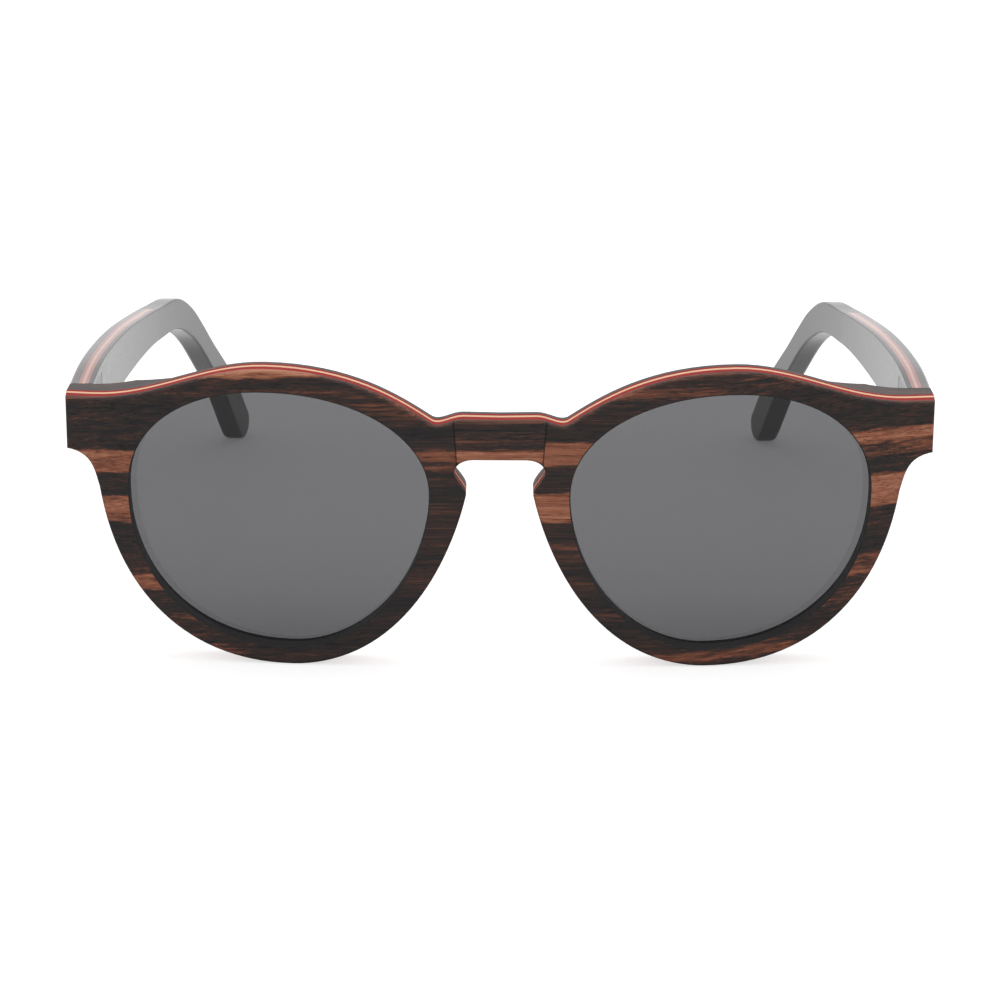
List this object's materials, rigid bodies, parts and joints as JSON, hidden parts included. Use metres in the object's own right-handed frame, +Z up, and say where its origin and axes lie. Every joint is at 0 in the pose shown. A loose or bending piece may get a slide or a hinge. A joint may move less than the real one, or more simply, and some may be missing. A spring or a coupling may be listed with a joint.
{
  "type": "wooden sunglasses",
  "caption": "Wooden sunglasses with a laminated round keyhole-bridge front, grey tinted lenses and bent laminated temples with plain dark tips that fold on screwed metal hinges.",
  "frame": {"origin": "under the middle of the whole, on the surface that the rims and temple tips stand on", "axes": "+X to the wearer's left, +Y back from the lenses along the open temples, +Z up"},
  "size_m": [0.1462, 0.145, 0.0514],
  "materials": {
    "ebony_face": "satin oiled ebony with brown streaks",
    "ebony_back": "satin oiled dark ebony",
    "red_veneer": "dyed red veneer edge, satin",
    "cream_veneer": "pale maple veneer edge, satin",
    "tip_acetate": "polished black acetate",
    "tinted_lens": "polished grey tint",
    "hinge_steel": "satin stainless",
    "screw_steel": "bright stainless"
  },
  "bodies": {
    "front": {"face_veneer_left": "ebony_face", "face_veneer_bridge": "ebony_face", "face_veneer_right": "ebony_face", "front_red_veneer": "red_veneer", "front_cream_veneer": "cream_veneer", "front_rear_red_veneer": "red_veneer", "front_back": "ebony_back", "lens_left": "tinted_lens", "lens_right": "tinted_lens", "front_leaf_left": "hinge_steel", "front_leaf_right": "hinge_steel", "front_leaf_screws": "screw_steel", "hinge_screw_left": "screw_steel", "hinge_screw_right": "screw_steel"},
    "left_temple": {"temple_outer_left": "ebony_face", "temple_red_left": "red_veneer", "temple_cream_left": "cream_veneer", "temple_inner_red_left": "red_veneer", "temple_inner_left": "ebony_back", "temple_tip_left": "tip_acetate", "temple_leaf_left": "hinge_steel", "temple_leaf_screws_left": "screw_steel"},
    "right_temple": {"temple_outer_right": "ebony_face", "temple_red_right": "red_veneer", "temple_cream_right": "cream_veneer", "temple_inner_red_right": "red_veneer", "temple_inner_right": "ebony_back", "temple_tip_right": "tip_acetate", "temple_leaf_right": "hinge_steel", "temple_leaf_screws_right": "screw_steel"}
  },
  "joints": [
    {"name": "left_temple_fold", "type": "hinge", "parent": "front", "child": "left_temple", "pos_m": [0.0674, -0.05686, 0.04125], "axis": [0, 0, 1], "range_deg": [0, 86]},
    {"name": "right_temple_fold", "type": "hinge", "parent": "front", "child": "right_temple", "pos_m": [-0.0674, -0.05686, 0.04125], "axis": [0, 0, -1], "range_deg": [0, 81]}
  ]
}
